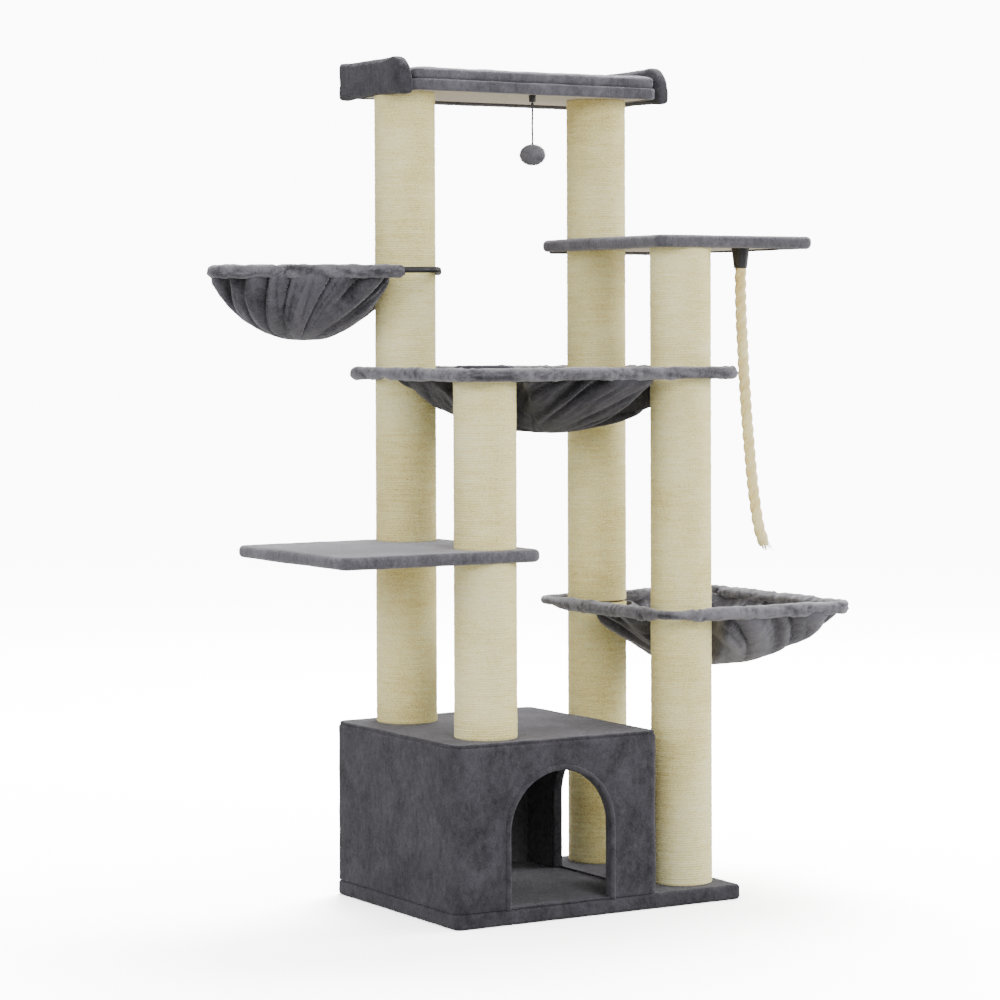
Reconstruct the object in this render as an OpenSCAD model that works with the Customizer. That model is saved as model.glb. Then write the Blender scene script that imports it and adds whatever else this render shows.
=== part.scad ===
// Cat tree: a plush base with a house, four sisal posts, platforms, slings, a rope and a pompom.
// Millimetres, +Z up, +Y to the back. The origin is the middle of the base on the floor.

/* [Base] */
// Width of the base, along X
base_w = 660; // [600:5:700]
// Depth of the base, along Y
base_d = 484; // [460:4:500]
// Thickness of the base with its plush
base_t = 30; // [26:1:36]
// Thickness of the plush pile
plush = 4; // [3:0.5:5]
// Thickness of the chipboard panels
board = 15; // [12:1:16]

/* [House] */
// Width of the house, from the base's left edge
house_w = 460; // [400:5:480]
// Height of the house's roof above the floor
house_top = 350; // [330:5:380]
// Width of the arched doorways
door_w = 232; // [200:4:244]
// Height of the doorways above the base
door_h = 262; // [240:2:270]

/* [Posts] */
// Diameter of a post over its sisal
post_d = 120; // [110:1:124]
// Thickness of the sisal winding
sisal = 6; // [4:0.5:7]
// Wall of the cardboard tube
tube_wall = 6; // [4:1:8]

/* [Levels] */
// Underside of the left platform's board
left_level = 694; // [680:1:710]
// Height of the low sling's rod
low_level = 574; // [560:1:590]
// Height of the middle sling's rod
mid_level = 1054; // [1040:1:1070]
// Height of the high sling's rod
high_level = 1257; // [1240:1:1270]
// Underside of the right platform's board
right_level = 1304; // [1295:1:1315]
// Underside of the top platform's board
top_level = 1615; // [1600:1:1640]

/* [Slings] */
// Depth of the middle sling below its rod
mid_sag = 120; // [100:1:130]
// Depth of the low sling below its rod
low_sag = 124; // [100:1:130]
// Depth of the high sling below its rod
high_sag = 134; // [110:1:140]
// Thickness of the sling cloth
cloth = 5; // [4:0.5:6]

/* [Hidden] */
$fn = 64;
eps = 0.3;

// Posts: left and right columns, front and back rows
left_x = -210;
right_x = 246;
front_y = -150;
back_y = 162;
post_r = post_d / 2;
tube_r = post_r - sisal;
bore_r = tube_r - tube_wall;
plug_t = 20;
stud_r = 5;
hole_r = stud_r + 0.2;
strap_t = 3;
cap_r = 57;
cap_t = 14;
half = strap_t / 2;

// Base and house
base_corner = 14;
backing_t = 3;
fold = 18;
house_l = -base_w / 2;
house_r = house_l + house_w;
house_corner = 18;
door_mid = house_l + 234;
side_mid = 6;
trim_r = 5;
deck_plush = 6;
deck_t = board + deck_plush;

// Platforms: [left, right, front, back]
left_plate = [-560, -121, -222, 230];
right_plate = [148, 528, -222, 230];
top_plate = [-250, 329, 50, 336];
plate_corner = 22;
bolster_w = 29;
bolster_h = 70;
bolster_nose = 52;
bolster_round = 9;
mat_t = 23;

// Sling rods: [left, right, front, back] along the rod's middle line
mid_loop = [-290, 328, -234, 246];
low_loop = [157, 603, -236, 247];
high_loop = [-67, 378, -150, 150];
high_turn = 150;
rod_r = 6;
sleeve_r = 11;
loop_corner = 30;
rim_gap = 1.5;

// Pompom toy and rope
toy = [47, 90];
toy_clip_h = 14;
toy_pivot = top_level - toy_clip_h - 3.6;
toy_knot_r = 3;
toy_cord_r = 1;
ball_w = 50;
ball_h = 41;
ball_z = 1494;
rope = [393, -150];
rope_r = 11.5;
socket_h = 42;
socket_bottom = right_level - socket_h;
rope_pivot = socket_bottom - rope_r - eps;
rope_route = [
    [0, 0, rope_pivot], [0, 0, 1230], [0, 0, 1205], [1, 0, 1180], [2, 0, 1150], [4, 0, 1120],
    [6, 0, 1085], [8, 0, 1050], [11, 0, 1010], [14, 0, 970], [18, 0, 930], [22, 0, 890],
    [26, 0, 850], [31, 0, 810], [37, 0, 772], [43, 0, 742], [50, 0, 718], [58, 0, 700]
];

posts = ["a", "b", "c", "d"];
spot = [[left_x, back_y], [left_x, front_y], [right_x, back_y], [right_x, front_y]];
// Bottom and top of each section of each post
sections = [
    [[house_top, left_level], [left_level + deck_t, mid_level - half],
        [mid_level + half, high_level - half], [high_level + half, top_level]],
    [[house_top, left_level], [left_level + deck_t, mid_level - half]],
    [[base_t, low_level - half], [low_level + half, mid_level - half],
        [mid_level + half, right_level], [right_level + deck_t, top_level]],
    [[base_t, low_level - half], [low_level + half, mid_level - half], [mid_level + half, right_level]]
];

grey = [0.33, 0.33, 0.36];
cream = [0.86, 0.80, 0.68];
straw = [0.80, 0.74, 0.56];
wood = [0.76, 0.64, 0.46];
card = [0.66, 0.56, 0.42];
steel = [0.70, 0.70, 0.72];
black = [0.08, 0.08, 0.08];

// ---- Shared shapes ----

// A plate with rounded upright corners, between x0..x1, y0..y1 and z0..z1
module slab(x0, x1, y0, y1, z0, z1, r) {
    translate([x0, y0, z0]) linear_extrude(z1 - z0) rounded(x1 - x0, y1 - y0, r);
}

module rounded(w, d, r) {
    translate([r, 0]) square([w - 2 * r, d]);
    translate([0, r]) square([w, d - 2 * r]);
    for (x = [r, w - r], y = [r, d - r]) translate([x, y]) circle(r);
}

module tube(r_out, r_in, z0, z1) {
    translate([0, 0, z0]) difference() {
        cylinder(r = r_out, h = z1 - z0);
        translate([0, 0, -1]) cylinder(r = r_in, h = z1 - z0 + 2);
    }
}

// Upright holes for the studs of the posts at the given places
module stud_holes(places, z0, z1) {
    for (p = places) translate([p[0], p[1], z0]) cylinder(r = hole_r, h = z1 - z0);
}

// The outline of a doorway: straight sides under a round head, w wide and h high
module arch(w, h) {
    translate([-w / 2, -1]) square([w, h - w / 2 + 1]);
    translate([0, h - w / 2]) circle(w / 2);
}

module front_arch(w, h, y0, y1) {
    translate([door_mid, y1, base_t]) rotate([90, 0, 0]) linear_extrude(y1 - y0) arch(w, h);
}

module side_arch(w, h, x0, x1) {
    translate([x0, side_mid, base_t]) rotate([90, 0, 90]) linear_extrude(x1 - x0) arch(w, h);
}

// A round rod bent to a rounded rectangle; box is [left, right, front, back], bore 0 makes it solid
module rod_loop(box, r, bore, corner) {
    w = box[1] - box[0] - 2 * corner;
    d = box[3] - box[2] - 2 * corner;
    for (side = [[box[0], box[2] + corner, d, -90], [box[1], box[2] + corner, d, -90]])
        translate([side[0], side[1], 0]) rotate([side[3], 0, 0]) rod(r, bore, side[2]);
    for (y = [box[2], box[3]])
        translate([box[0] + corner, y, 0]) rotate([0, 90, 0]) rod(r, bore, w);
    for (k = [[box[0] + corner, box[2] + corner, 180], [box[1] - corner, box[2] + corner, 270],
            [box[1] - corner, box[3] - corner, 0], [box[0] + corner, box[3] - corner, 90]])
        translate([k[0], k[1], 0]) rotate([0, 0, k[2]]) rotate_extrude(angle = 90)
            translate([corner, 0]) ring(r, bore);
}

module ring(r, bore) {
    difference() {
        circle(r);
        if (bore > 0) circle(bore);
    }
}

module rod(r, bore, length) {
    linear_extrude(length) ring(r, bore);
}

// A flat strap from the rod at x0 to a post's middle, with the stud's hole
module strap(x0, x1, y) {
    dir = x1 > x0 ? 1 : -1;
    difference() {
        translate([min(x0, x1 + 18 * dir), y - 15, -half])
            cube([abs(x1 + 18 * dir - x0), 30, strap_t]);
        translate([x1, y, -5]) cylinder(r = hole_r, h = 10);
    }
}

// ---- Base ----

module base_board() {
    color(wood) difference() {
        slab(-base_w / 2 + plush, base_w / 2 - plush, -base_d / 2 + plush, base_d / 2 - plush,
            backing_t, base_t - plush, base_corner - plush);
        for (p = [spot[2], spot[3]]) {
            translate([p[0], p[1], 0]) cylinder(r = hole_r, h = base_t);
            translate([p[0], p[1], 0]) cylinder(r = 12, h = 12);
        }
    }
}

module base_cover() {
    color(grey) difference() {
        slab(-base_w / 2, base_w / 2, -base_d / 2, base_d / 2, 0, base_t, base_corner);
        slab(-base_w / 2 + plush, base_w / 2 - plush, -base_d / 2 + plush, base_d / 2 - plush,
            backing_t, base_t - plush, base_corner - plush);
        translate([-base_w / 2 + fold, -base_d / 2 + fold, -1])
            cube([base_w - 2 * fold, base_d - 2 * fold, backing_t + 2]);
        stud_holes([spot[2], spot[3]], base_t - plush - 1, base_t + 1);
    }
}

module base_backing() {
    color(black) difference() {
        translate([-base_w / 2 + fold, -base_d / 2 + fold, 0])
            cube([base_w - 2 * fold, base_d - 2 * fold, backing_t]);
        for (p = [spot[2], spot[3]]) translate([p[0], p[1], -1]) cylinder(r = 12, h = backing_t + 2);
    }
}

// A hex bolt with a washer, its head down, reaching up from z0
module bolt(z0, length) {
    translate([0, 0, z0]) {
        cylinder(r = 7.5, h = 5.5, $fn = 6);
        translate([0, 0, 5.5]) cylinder(r = 10, h = 1.5);
        translate([0, 0, 7]) cylinder(r = stud_r, h = length);
    }
}

module base_bolts() {
    color(steel) for (p = [spot[2], spot[3]]) translate([p[0], p[1], 0]) bolt(5, 38);
}

// ---- House ----

wall_l = house_l + plush;
wall_r = house_r - plush;
wall_f = -base_d / 2 + plush;
wall_b = base_d / 2 - plush;
wall_corner = house_corner - plush;
roof_z = house_top - plush - board;

// All that the walls and the roof panel may fill
module house_block(z0, z1) {
    slab(wall_l, wall_r, wall_f, wall_b, z0, z1, wall_corner);
}

module house_left_panel() {
    color(wood) intersection() {
        house_block(base_t, roof_z);
        translate([wall_l, wall_f, base_t]) cube([board, wall_b - wall_f, roof_z - base_t]);
    }
}

module house_right_panel() {
    color(wood) difference() {
        intersection() {
            house_block(base_t, roof_z);
            translate([wall_r - board, wall_f, base_t]) cube([board, wall_b - wall_f, roof_z - base_t]);
        }
        side_arch(door_w, door_h, wall_r - board - 1, wall_r + 1);
    }
}

module cross_panel(y0) {
    translate([wall_l + board, y0, base_t])
        cube([wall_r - wall_l - 2 * board, board, roof_z - base_t]);
}

module house_front_panel() {
    color(wood) difference() {
        cross_panel(wall_f);
        front_arch(door_w, door_h, wall_f - 1, wall_f + board + 1);
    }
}

module house_back_panel() {
    color(wood) cross_panel(wall_b - board);
}

module house_roof_panel() {
    color(wood) difference() {
        house_block(roof_z, roof_z + board);
        stud_holes([spot[0], spot[1]], roof_z - 1, roof_z + board + 1);
    }
}

module house_wall_cover() {
    color(grey) difference() {
        slab(house_l, house_r, -base_d / 2, base_d / 2, base_t, roof_z + board, house_corner);
        house_block(base_t - 1, roof_z + board + 1);
        front_arch(door_w, door_h, -base_d / 2 - 1, wall_f + 1);
        side_arch(door_w, door_h, wall_r - 1, house_r + 1);
    }
}

module house_roof_cover() {
    color(grey) difference() {
        slab(house_l, house_r, -base_d / 2, base_d / 2, roof_z + board, house_top, house_corner);
        stud_holes([spot[0], spot[1]], roof_z + board - 1, house_top + 1);
    }
}

// A rolled plush edge lining an arch, standing t deep inside the opening
module trim_outline() {
    difference() {
        arch(door_w, door_h);
        arch(door_w - 2 * trim_r, door_h - trim_r);
        translate([-door_w, -10]) square([2 * door_w, 10]);
    }
}

module house_door_trim() {
    color(grey) translate([door_mid, wall_f + board, base_t])
        rotate([90, 0, 0]) linear_extrude(board + plush) trim_outline();
}

module house_side_trim() {
    color(grey) translate([wall_r - board, side_mid, base_t])
        rotate([90, 0, 90]) linear_extrude(board + plush) trim_outline();
}

// Countersunk screws through the side panels and the roof into the edges of their neighbours
module panel_screw() {
    cylinder(r1 = 4, r2 = 2, h = 3);
    translate([0, 0, 3]) cylinder(r = 2, h = 37);
}

module house_screws() {
    inset = board / 2;
    screw_sink = 5.5;
    color(steel) {
        for (y = [wall_f + inset, wall_b - inset], z = [90, 180, 270]) {
            translate([wall_l + screw_sink, y, z]) rotate([0, 90, 0]) panel_screw();
            translate([wall_r - screw_sink, y, z]) rotate([0, -90, 0]) panel_screw();
        }
    }
}

module house_roof_bolts() {
    color(steel) for (p = [spot[0], spot[1]]) translate([p[0], p[1], 0]) bolt(roof_z - 7, 45);
}

// ---- Posts ----

module post_sisal(post, part) {
    s = sections[post][part];
    color(straw) translate([spot[post][0], spot[post][1], 0]) tube(post_r, tube_r + 0.1, s[0], s[1]);
}

module post_tubes(post) {
    color(card) translate([spot[post][0], spot[post][1], 0])
        for (s = sections[post]) tube(tube_r, bore_r, s[0] + 0.2, s[1] - 0.2);
}

// A round wooden plug in each end of each section, bored for the stud
module post_plugs() {
    color(wood) for (post = [0:3], s = sections[post], z = [s[0] + 0.2, s[1] - plug_t - 0.2])
        translate([spot[post][0], spot[post][1], 0]) tube(bore_r - 0.2, hole_r, z, z + plug_t);
}

// A stud across each joint between two sections, or screwed up into the board or cap above
module post_studs() {
    color(steel) for (post = [0:3], i = [0:len(sections[post]) - 1])
        translate([spot[post][0], spot[post][1], sections[post][i][1] - 30])
            cylinder(r = stud_r, h = i < len(sections[post]) - 1 ? 73 : post == 1 ? 42 : 44);
}

// A plush-covered disc that closes the short front post above the middle sling's strap
module post_b_cap() {
    color(grey) translate([spot[1][0], spot[1][1], mid_level + half]) difference() {
        cylinder(r = cap_r, h = cap_t);
        translate([0, 0, -1]) cylinder(r = hole_r, h = cap_t - 1);
    }
}

// ---- Platforms ----

// The chipboard inside a platform; p is [left, right, front, back], z its underside
module platform_board(p, z, places) {
    difference() {
        slab(p[0] + plush, p[1] - plush, p[2] + plush, p[3] - plush, z, z + board, plate_corner - plush);
        stud_holes(places, z - 1, z + board + 1);
    }
}

// Plush over a platform's top and edges
module platform_cover(p, z, places) {
    difference() {
        slab(p[0], p[1], p[2], p[3], z, z + deck_t, plate_corner);
        slab(p[0] + plush, p[1] - plush, p[2] + plush, p[3] - plush, z - 1, z + board, plate_corner - plush);
        stud_holes(places, z + board - 1, z + deck_t + 1);
    }
}

module left_platform_board() {
    color(cream) platform_board(left_plate, left_level, [spot[0], spot[1]]);
}

module left_platform_cover() {
    color(grey) platform_cover(left_plate, left_level, [spot[0], spot[1]]);
}

module right_platform_board() {
    color(cream) platform_board(right_plate, right_level, [spot[2], spot[3]]);
}

module right_platform_cover() {
    color(grey) platform_cover(right_plate, right_level, [spot[2]]);
}

module top_platform_board() {
    color(cream) platform_board(top_plate, top_level, [spot[0], spot[2]]);
}

module top_platform_cover() {
    color(grey) platform_cover(top_plate, top_level, []);
}

module top_mat() {
    z = top_level + deck_t + eps;
    color(grey) slab(top_plate[0] + 1, top_plate[1] - 1, top_plate[2], top_plate[3] - 2, z, z + mat_t, 30);
}

// A padded side board on edge at the platform's end, with a long rounded nose at the front
module bolster(x0) {
    length = top_plate[3] - top_plate[2] + 2;
    color(grey) translate([x0, top_plate[2] - 2, top_level + eps])
        rotate([90, 0, 90]) linear_extrude(bolster_w) intersection() {
            rounded(length, bolster_h, bolster_round);
            union() {
                translate([bolster_nose, 0]) square([length, bolster_h]);
                square([bolster_nose, bolster_h - bolster_nose]);
                translate([bolster_nose, bolster_h - bolster_nose]) circle(bolster_nose);
            }
        }
}

// ---- Slings ----

// How far inside the rod, and how far below it, the cloth's rim lies
rim_in = 4;
rim_drop = sleeve_r + rim_gap;

function unit(v) = v / norm(v);

// Where a ray from c along direction u leaves the rectangle b
function to_box(c, u, b) = min(
    u[0] > 0.0001 ? (b[1] - c[0]) / u[0] : u[0] < -0.0001 ? (b[0] - c[0]) / u[0] : 99999,
    u[1] > 0.0001 ? (b[3] - c[1]) / u[1] : u[1] < -0.0001 ? (b[2] - c[1]) / u[1] : 99999);

// Where the same ray meets the cut across the rectangle's corner, k along each side
function to_cut(c, u, b, k) =
    (abs((u[0] > 0 ? b[1] : b[0]) - c[0]) + abs((u[1] > 0 ? b[3] : b[2]) - c[1]) - k)
        / (abs(u[0]) + abs(u[1]));

// Where the same ray meets a circle at p with radius r, or a large value where it misses
function to_post(c, u, p, r) =
    let (v = p - c, along = v * u, off = norm(v) * norm(v) - along * along)
    along > 0 && off < r * r ? along - sqrt(r * r - off) : 99999;

// The cloth's edge in one direction: under the rod, or short of a post that stands in the way
function reach(c, u, b, keep_off) =
    min(concat([to_box(c, u, b), to_cut(c, u, b, loop_corner * 0.6)],
        [for (p = keep_off) to_post(c, u, p, post_r + 16)]));

// A bowl of cloth: rings from the middle c out to its edge, its lowest point depth below the rod
module cloth_bowl(box, c, depth, keep_off) {
    rays = 72;
    rings = 6;
    b = [box[0] + rim_in, box[1] - rim_in, box[2] + rim_in, box[3] - rim_in];
    dirs = [for (i = [0:rays - 1]) [cos(i * 360 / rays), sin(i * 360 / rays)]];
    top = [for (k = [1:rings], u = dirs)
        let (s = k / rings, p = c + s * reach(c, u, b, keep_off) * u)
        [p[0], p[1], -rim_drop - (depth - rim_drop) * (1 - pow(s, 2.3))]];
    n = len(top);
    low = [for (p = top) [p[0], p[1], p[2] - cloth]];
    points = concat(top, low, [[c[0], c[1], -depth]], [[c[0], c[1], -depth - cloth]]);
    function at(k, i) = (k - 1) * rays + i % rays;
    faces = concat(
        [for (k = [1:rings - 1], i = [0:rays - 1]) [at(k, i), at(k + 1, i), at(k + 1, i + 1)]],
        [for (k = [1:rings - 1], i = [0:rays - 1]) [at(k, i), at(k + 1, i + 1), at(k, i + 1)]],
        [for (k = [1:rings - 1], i = [0:rays - 1]) [n + at(k, i), n + at(k + 1, i + 1), n + at(k + 1, i)]],
        [for (k = [1:rings - 1], i = [0:rays - 1]) [n + at(k, i), n + at(k, i + 1), n + at(k + 1, i + 1)]],
        [for (i = [0:rays - 1]) [2 * n, at(1, i), at(1, i + 1)]],
        [for (i = [0:rays - 1]) [2 * n + 1, n + at(1, i + 1), n + at(1, i)]],
        [for (i = [0:rays - 1]) [at(rings, i), n + at(rings, i), n + at(rings, i + 1)]],
        [for (i = [0:rays - 1]) [at(rings, i), n + at(rings, i + 1), at(rings, i + 1)]]);
    polyhedron(points, [for (f = faces) [f[0], f[2], f[1]]], convexity = 6);
}

module mid_straps() {
    for (p = [0, 1]) strap(mid_loop[0], spot[p][0], spot[p][1]);
    for (p = [2, 3]) strap(mid_loop[1], spot[p][0], spot[p][1]);
}

module mid_sling_frame() {
    color(steel) translate([0, 0, mid_level]) {
        rod_loop(mid_loop, rod_r, 0, loop_corner);
        mid_straps();
    }
}

// Slots where the straps leave the sleeve; each is [x, y] of a strap's outer end
module strap_slots(ends) {
    for (e = ends) translate([e[0] - 15, e[1] - 15.5, -half - 0.2]) cube([30, 31, strap_t + 0.4]);
}

module mid_sling_sleeve() {
    color(grey) translate([0, 0, mid_level]) difference() {
        rod_loop(mid_loop, sleeve_r, rod_r, loop_corner);
        strap_slots([for (p = [0:3]) [p < 2 ? mid_loop[0] : mid_loop[1], spot[p][1]]]);
    }
}

module mid_sling_cloth() {
    color(grey) translate([0, 0, mid_level])
        cloth_bowl(mid_loop, [19, 6], mid_sag, spot);
}

module low_sling_frame() {
    color(steel) translate([0, 0, low_level]) {
        rod_loop(low_loop, rod_r, 0, loop_corner);
        for (p = [2, 3]) strap(low_loop[0], spot[p][0], spot[p][1]);
    }
}

module low_sling_sleeve() {
    color(grey) translate([0, 0, low_level]) difference() {
        rod_loop(low_loop, sleeve_r, rod_r, loop_corner);
        strap_slots([for (p = [2, 3]) [low_loop[0], spot[p][1]]]);
    }
}

module low_sling_cloth() {
    color(grey) translate([0, 0, low_level])
        cloth_bowl(low_loop, [400, 6], low_sag, [spot[2], spot[3]]);
}

// The high sling's own frame: its post is at the origin and the sling runs along +X
module at_high_sling() {
    translate([spot[0][0], spot[0][1], high_level]) rotate([0, 0, high_turn]) children();
}

module high_sling_frame() {
    color(steel) at_high_sling() {
        rod_loop(high_loop, rod_r, 0, loop_corner);
        strap(high_loop[0], 0, 0);
    }
}

module high_sling_sleeve() {
    color(grey) at_high_sling() intersection() {
        rod_loop(high_loop, sleeve_r, rod_r, loop_corner);
        translate([0, -300, -30]) cube([600, 600, 60]);
    }
}

module high_sling_cloth() {
    color(grey) at_high_sling()
        cloth_bowl([8, high_loop[1], high_loop[2], high_loop[3]], [200, 0], high_sag, [[0, 0]]);
}

// ---- Pompom toy ----

module toy_clip() {
    color(black) translate([toy[0], toy[1], top_level - toy_clip_h])
        cylinder(r1 = 6.5, r2 = 7.5, h = toy_clip_h);
}

module toy_knot() {
    color(black) translate([toy[0], toy[1], toy_pivot]) sphere(toy_knot_r);
}

toy_cord_top = toy_pivot - toy_knot_r - eps;
toy_cord_end = ball_z + ball_h / 2 - 0.2;

module toy_cord() {
    color(black) translate([toy[0], toy[1], toy_cord_end])
        cylinder(r = toy_cord_r, h = toy_cord_top - toy_cord_end);
}

// A slightly flattened ball, with a flat where the cord meets it
module toy_ball() {
    steps = 18;
    side = [for (i = [0:steps]) [cos(90 - i * 10) * ball_w / 2, sin(90 - i * 10) * ball_h / 2]];
    color(grey) translate([toy[0], toy[1], ball_z]) intersection() {
        rotate_extrude() polygon([for (p = side) [max(p[0], 0), p[1]]]);
        translate([-ball_w, -ball_w, -ball_h]) cube([2 * ball_w, 2 * ball_w, ball_h * 1.5 - 0.2]);
    }
}

// ---- Rope ----

module rope_socket() {
    color(black) translate([rope[0], rope[1], 0]) difference() {
        translate([0, 0, socket_bottom]) cylinder(r1 = 13.5, r2 = 18.5, h = socket_h);
        translate([0, 0, socket_bottom - 1]) cylinder(r = rope_r + 0.1, h = 31);
    }
}

// The end of the rope that is glued into the socket
module rope_stub() {
    color(straw) translate([rope[0], rope[1], socket_bottom]) cylinder(r = rope_r, h = 30);
}

function tangent(i) = unit(rope_route[min(i + 1, len(rope_route) - 1)] - rope_route[max(i - 1, 0)]);

// The rope's top is a half ball about its pivot, so that it can swing under the socket
module rope() {
    sides = 12;
    dome = [for (a = [75, 50, 25]) for (k = [0:sides - 1])
        [rope_r * cos(a) * cos(k * 30), rope_r * cos(a) * sin(k * 30), rope_pivot + rope_r * sin(a)]];
    stem = [for (i = [0:len(rope_route) - 1])
        let (t = tangent(i), e = unit(cross([0, 1, 0], t)), f = cross(t, e))
        for (k = [0:sides - 1]) rope_route[i] - rope_r * (cos(k * 30) * e - sin(k * 30) * f)];
    rings = concat(dome, stem);
    last = len(rings) / sides - 1;
    faces = concat(
        [for (i = [0:last - 1], k = [0:sides - 1])
            [i * sides + k, i * sides + (k + 1) % sides, (i + 1) * sides + (k + 1) % sides]],
        [for (i = [0:last - 1], k = [0:sides - 1])
            [i * sides + k, (i + 1) * sides + (k + 1) % sides, (i + 1) * sides + k]],
        [[for (k = [sides - 1:-1:0]) k]],
        [[for (k = [0:sides - 1]) last * sides + k]]);
    color(straw) translate([rope[0], rope[1], 0]) {
        polyhedron(rings, faces, convexity = 4);
    }
}

// ---- Assembly ----

base_board();
base_cover();
base_backing();
base_bolts();
house_front_panel();
house_back_panel();
house_left_panel();
house_right_panel();
house_roof_panel();
house_wall_cover();
house_roof_cover();
house_door_trim();
house_side_trim();
house_screws();
house_roof_bolts();
for (post = [0:3], part = [0:len(sections[post]) - 1])
    post_sisal(post, part);
for (post = [0:3])
    post_tubes(post);
post_plugs();
post_studs();
post_b_cap();
left_platform_board();
left_platform_cover();
right_platform_board();
right_platform_cover();
top_platform_board();
top_platform_cover();
top_mat();
bolster(top_plate[0] - bolster_w - eps);  // left_bolster
bolster(top_plate[1] + eps);  // right_bolster
mid_sling_frame();
mid_sling_sleeve();
mid_sling_cloth();
low_sling_frame();
low_sling_sleeve();
low_sling_cloth();
high_sling_frame();
high_sling_sleeve();
high_sling_cloth();
toy_clip();
toy_knot();
toy_cord();
toy_ball();
rope_socket();
rope_stub();
rope();
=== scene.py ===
"""A tall cat tree: plush base and house, sisal posts, platforms, slings, a rope and a pompom toy."""

import math
import random

import bmesh
import bpy
import numpy as np
from mathutils import Matrix, Vector, noise


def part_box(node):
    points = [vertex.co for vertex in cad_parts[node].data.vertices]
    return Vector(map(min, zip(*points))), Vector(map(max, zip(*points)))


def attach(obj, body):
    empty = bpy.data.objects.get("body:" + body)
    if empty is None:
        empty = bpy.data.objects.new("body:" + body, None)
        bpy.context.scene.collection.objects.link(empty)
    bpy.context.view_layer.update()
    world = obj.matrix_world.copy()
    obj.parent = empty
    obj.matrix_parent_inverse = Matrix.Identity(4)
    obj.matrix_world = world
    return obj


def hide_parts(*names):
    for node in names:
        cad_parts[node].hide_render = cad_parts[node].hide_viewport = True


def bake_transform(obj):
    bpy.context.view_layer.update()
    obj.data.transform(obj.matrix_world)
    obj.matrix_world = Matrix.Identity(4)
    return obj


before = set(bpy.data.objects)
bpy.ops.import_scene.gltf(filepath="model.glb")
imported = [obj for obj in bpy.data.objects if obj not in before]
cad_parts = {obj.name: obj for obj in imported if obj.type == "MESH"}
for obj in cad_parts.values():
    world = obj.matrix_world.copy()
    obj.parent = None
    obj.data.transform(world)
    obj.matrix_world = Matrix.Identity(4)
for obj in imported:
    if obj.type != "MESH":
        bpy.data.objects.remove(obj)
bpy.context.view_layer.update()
MM = 0.001


# ---- Camera ----

CAMERA_PLACE = (-3.310, -5.383, 1.127)
CAMERA_YAW = 30.92
CAMERA_PITCH = -1.17
CAMERA_ROLL = -0.19
CAMERA_SHIFT = -0.10
LENS = 113.56
SENSOR_WIDTH = 36


def make_camera():
    data = bpy.data.cameras.new("camera")
    data.lens = LENS
    data.sensor_width = SENSOR_WIDTH
    data.shift_y = CAMERA_SHIFT
    camera = bpy.data.objects.new("camera", data)
    bpy.context.collection.objects.link(camera)
    turn = Matrix.Rotation(-math.radians(CAMERA_YAW), 4, "Z")
    tilt = Matrix.Rotation(math.radians(90 + CAMERA_PITCH), 4, "X")
    roll = Matrix.Rotation(math.radians(CAMERA_ROLL), 4, "Z")
    camera.matrix_world = Matrix.Translation(CAMERA_PLACE) @ turn @ tilt @ roll
    bpy.context.scene.camera = camera


make_camera()


# ---- Finishes ----


class Shade:
    """A node's output. Arithmetic on it adds Math nodes."""

    def __init__(self, nodes, socket):
        self.nodes = nodes
        self.socket = socket

    def math(self, kind, *values):
        return self.nodes.add("ShaderNodeMath", {"operation": kind}, dict(enumerate(values)))

    def __add__(self, other):
        return self.math("ADD", self, other)

    def __radd__(self, other):
        return self.math("ADD", other, self)

    def __sub__(self, other):
        return self.math("SUBTRACT", self, other)

    def __rsub__(self, other):
        return self.math("SUBTRACT", other, self)

    def __mul__(self, other):
        return self.math("MULTIPLY", self, other)

    def __rmul__(self, other):
        return self.math("MULTIPLY", other, self)


class Nodes:
    """The nodes of a material or of the world round everything; add makes each new one."""

    def __init__(self, tree):
        self.tree = tree

    def add(self, kind, settings=None, inputs=None, out=0):
        """One more node, and its output as a Shade; a ramp's stops are [(place, colour), ...]."""
        node = self.tree.nodes.new(kind)
        for key, value in (settings or {}).items():
            if key == "stops":
                ramp = node.color_ramp.elements
                while len(ramp) < len(value):
                    ramp.new(0.5)
                for stop, (place, colour) in zip(ramp, value):
                    stop.position = place
                    stop.color = (*colour, 1)
            else:
                setattr(node, key, value)
        for key, value in (inputs or {}).items():
            self.feed(node.inputs[key], value)
        return Shade(self, node.outputs[out]) if node.outputs else None

    def feed(self, socket, value):
        if isinstance(value, Shade):
            self.tree.links.new(value.socket, socket)
        else:
            socket.default_value = value

    def split(self, lit, seen):
        """Lights the scene with one shader, and shows the camera the other."""
        to_camera = self.add("ShaderNodeLightPath", out="Is Camera Ray")
        return self.add("ShaderNodeMixShader", {}, {0: to_camera, 1: lit, 2: seen})


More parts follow.
